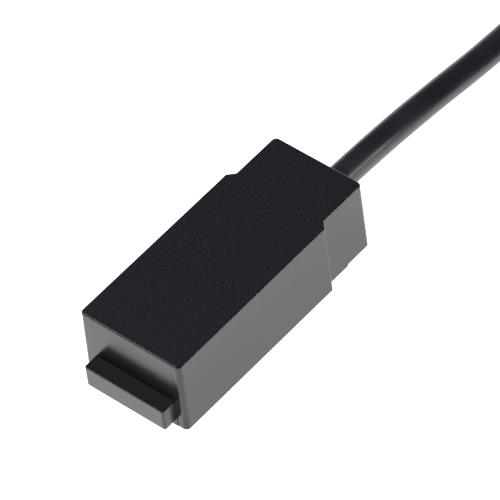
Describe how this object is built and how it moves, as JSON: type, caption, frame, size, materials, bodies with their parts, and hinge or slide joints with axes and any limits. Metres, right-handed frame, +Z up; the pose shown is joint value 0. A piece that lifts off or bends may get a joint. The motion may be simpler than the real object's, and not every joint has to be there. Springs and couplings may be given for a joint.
{
  "type": "proximity sensor",
  "caption": "Block proximity sensor: stepped black moulded case with a clip tab on its front end, potted coil and electronics, and a round cable put away in a coil.",
  "frame": {"origin": "middle of the case's underside, halfway between the tab's front and the rear wall", "axes": "+Y from the front tab towards the cable outlet, +Z up through the sensing face, +X to the right seen from the front"},
  "size_m": [0.0635, 0.1286, 0.0211],
  "materials": {
    "case": "fine spark-eroded texture on top, smooth satin sides",
    "cap": "smooth satin gloss",
    "cover": "fine matt",
    "jacket": "satin PVC",
    "bush": "matt rubber",
    "clamp": "plain",
    "ferrite": null,
    "bobbin": "natural",
    "copper": "enamelled copper",
    "board": "green solder mask",
    "chip": "moulded",
    "capacitor": "plain",
    "lens": "clear",
    "wire_brown": "satin",
    "wire_blue": "satin",
    "wire_black": "satin",
    "solder": "tinned",
    "resin": "cast",
    "tie": "plain"
  },
  "bodies": {
    "root": {"housing_shell": "case", "front_cap": "cap", "base_cover": "cover", "cable": "jacket", "cable_coil": "jacket", "cable_grommet": "bush", "cable_clamp": "clamp", "ferrite_core": "ferrite", "coil_bobbin": "bobbin", "coil_winding": "copper", "coil_leads": "copper", "circuit_board": "board", "sensing_chip": "chip", "output_transistor": "chip", "voltage_regulator": "chip", "protection_diodes": "chip", "capacitors": "capacitor", "resistors": "chip", "status_led": "lens", "light_guide": "lens", "inner_wire_brown": "wire_brown", "inner_wire_blue": "wire_blue", "inner_wire_black": "wire_black", "solder_joints": "solder", "potting_compound": "resin", "coil_tie": "tie", "tail_wire_brown": "wire_brown", "tail_wire_blue": "wire_blue", "tail_wire_black": "wire_black", "tinned_ends": "solder"}
  },
  "joints": []
}
